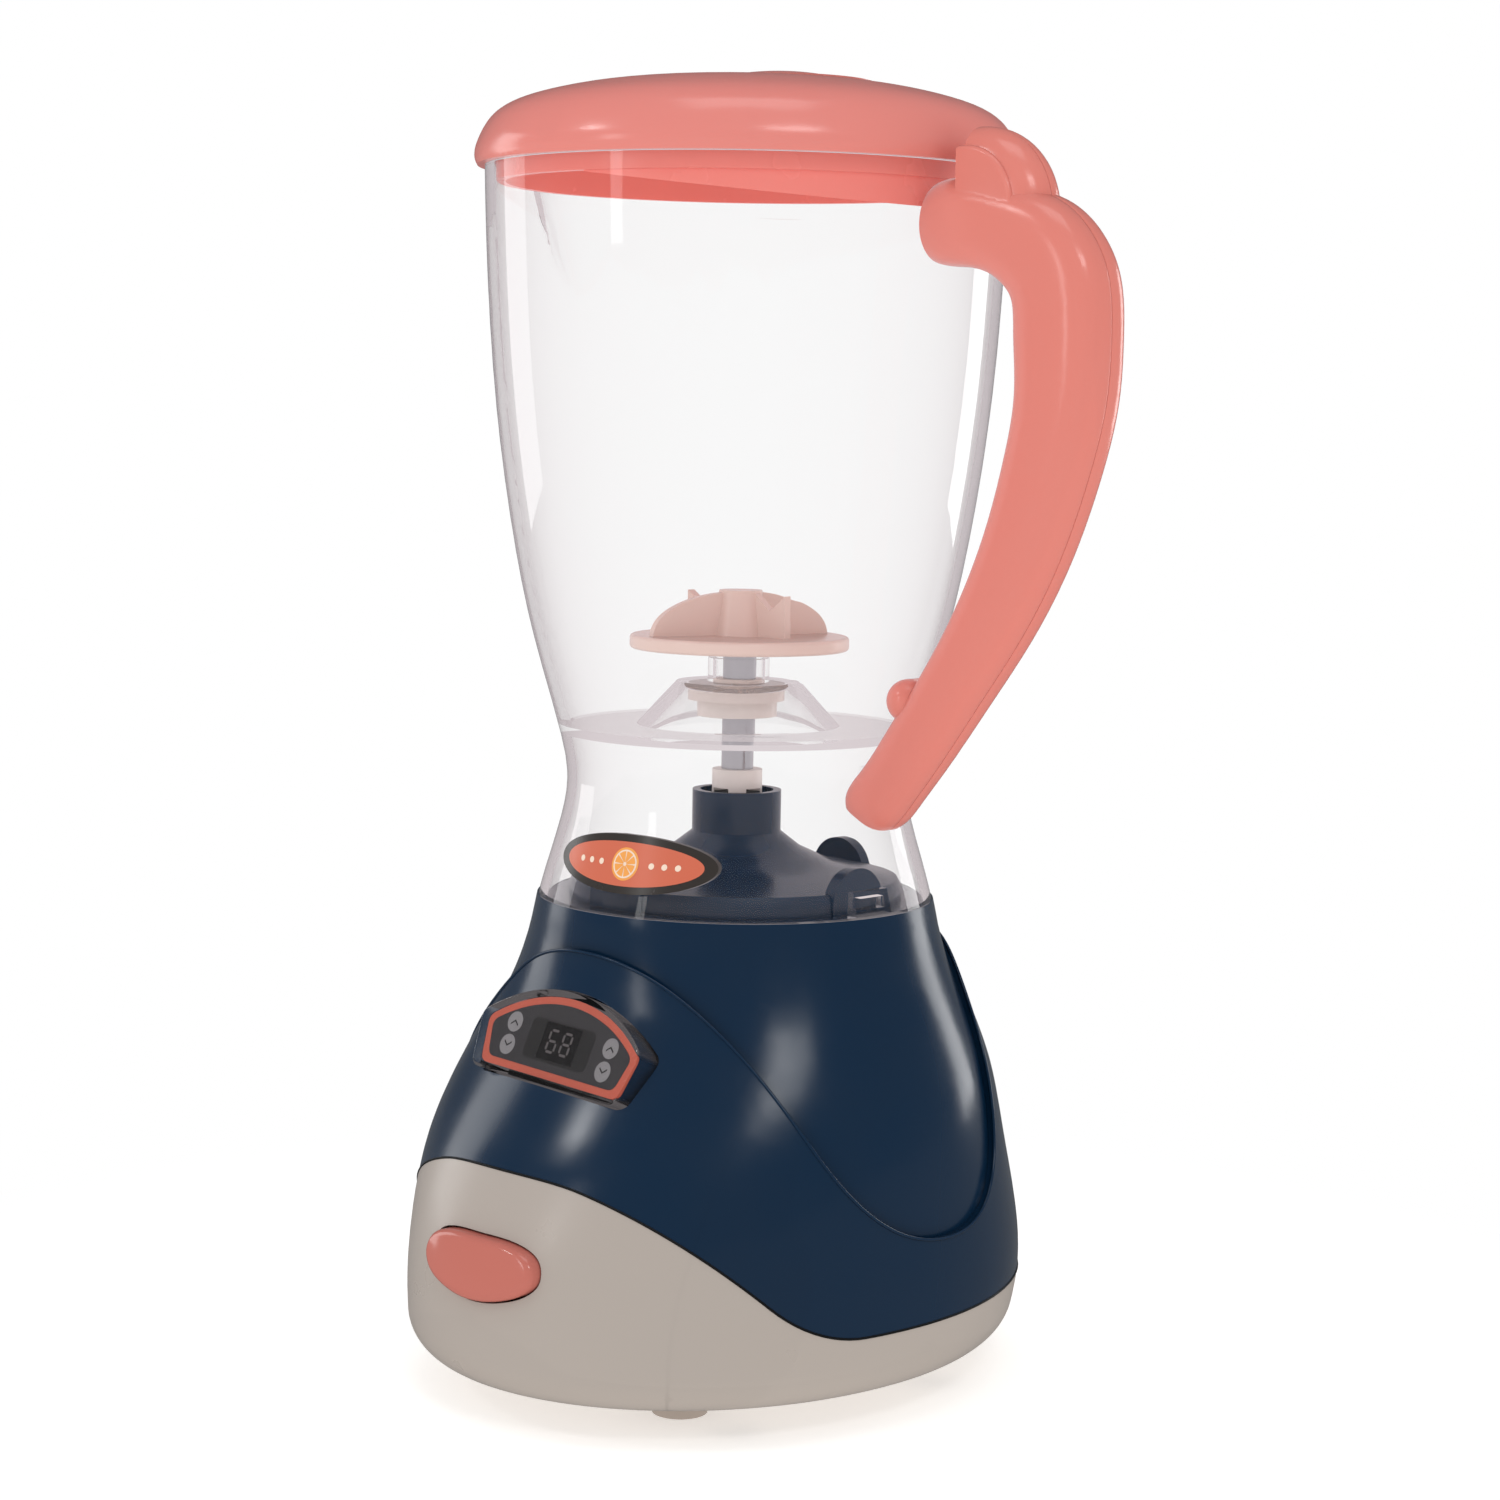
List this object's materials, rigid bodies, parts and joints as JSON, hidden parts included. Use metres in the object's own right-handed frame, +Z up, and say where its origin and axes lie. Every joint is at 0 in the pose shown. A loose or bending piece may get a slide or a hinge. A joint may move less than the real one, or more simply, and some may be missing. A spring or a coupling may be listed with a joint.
{
  "type": "toy blender",
  "caption": "Toy blender: oval battery base with start button and display, clear lift-off jug with handle, spout and spinning rotor, domed lid with a centre cap.",
  "frame": {"origin": "on the jug's axis, in the plane of the feet's undersides", "axes": "+Z up, -Y the front with the start button and the display, +X the handle, -X the pouring spout"},
  "size_m": [0.1391, 0.1253, 0.2405],
  "materials": {
    "navy_shell": "gloss",
    "greige_shell": "gloss",
    "dark_trim": "satin",
    "rubber_feet": "matte",
    "steel": "satin",
    "cell_sleeve": "gloss",
    "white_nylon": "satin",
    "bush_bronze": "satin",
    "clear_lens": "clear gloss",
    "printed_card": "matte",
    "lamp_white": "gloss",
    "coral_button": "gloss",
    "clear_jug": "clear gloss",
    "coral_plastic": "gloss",
    "badge_print": "gloss",
    "beige_bush": "satin",
    "blush_plastic": "gloss"
  },
  "bodies": {
    "base": {"base_lower_shell": "greige_shell", "base_upper_shell": "navy_shell", "jug_seat": "navy_shell", "battery_door": "greige_shell", "foot_front_left": "rubber_feet", "foot_front_right": "rubber_feet", "foot_rear_left": "rubber_feet", "foot_rear_right": "rubber_feet", "battery_door_screw": "steel", "case_screws": "steel", "gearbox_screws": "steel", "motor_screws": "steel", "seat_screws": "steel", "bracket_screws": "steel", "motor_can": "steel", "battery_contacts": "steel", "battery_springs": "steel", "button_spring": "steel", "motor_terminals": "steel", "cell_front": "cell_sleeve", "cell_rear": "cell_sleeve", "motor_end_cap": "white_nylon", "gearbox_plate": "white_nylon", "switch_bracket": "white_nylon", "spindle_lower_bush": "bush_bronze", "spindle_upper_bush": "bush_bronze", "start_switch": "dark_trim", "circuit_board": "dark_trim", "display_lens": "clear_lens", "display_card": "printed_card", "display_lamp": "lamp_white"},
    "drive": {"drive_spindle": "steel", "reduction_gear": "white_nylon", "drive_coupler": "dark_trim"},
    "pinion": {"motor_shaft": "steel", "motor_pinion": "white_nylon"},
    "button": {"start_button": "coral_button", "switch_plunger": "dark_trim"},
    "jug": {"jug_body": "clear_jug", "handle_front_half": "coral_plastic", "handle_rear_half": "coral_plastic", "handle_screws": "steel", "jug_badge": "badge_print", "shaft_bush": "beige_bush", "bush_lock_ring": "beige_bush"},
    "rotor": {"blade_rotor": "blush_plastic", "rotor_shaft": "steel", "rotor_coupler": "beige_bush"},
    "lid": {"lid_dome": "coral_plastic", "lid_strainer": "coral_plastic"},
    "cap": {"lid_cap": "coral_plastic"}
  },
  "joints": [
    {"name": "drive_spin", "type": "hinge", "parent": "base", "child": "drive", "pos_m": [0, 0, 0.0625], "axis": [0, 0, 1], "continuous": true},
    {"name": "pinion_spin", "type": "hinge", "parent": "base", "child": "pinion", "pos_m": [0, 0.022, 0.0625], "axis": [0, 0, 1], "continuous": true},
    {"name": "button_press", "type": "slide", "parent": "base", "child": "button", "axis": [0, 1, 0], "range_m": [0, 0.0025], "stiffness_N_per_m": 400, "springref_m": -0.001, "deforming": ["button_spring"]},
    {"name": "jug_lift", "type": "slide", "parent": "base", "child": "jug", "axis": [0, 0, 1], "range_m": [0, 0.04]},
    {"name": "rotor_spin", "type": "hinge", "parent": "jug", "child": "rotor", "pos_m": [0, 0, 0.13], "axis": [0, 0, 1], "continuous": true},
    {"name": "lid_lift", "type": "slide", "parent": "jug", "child": "lid", "axis": [0, 0, 1], "range_m": [0, 0.06]},
    {"name": "cap_lift", "type": "slide", "parent": "lid", "child": "cap", "axis": [0, 0, 1], "range_m": [0, 0.025]}
  ],
  "couplings": [
    {"joint": "pinion_spin", "follows": "drive_spin", "ratio": -4.5},
    {"joint": "rotor_spin", "follows": "drive_spin", "ratio": 1}
  ]
}
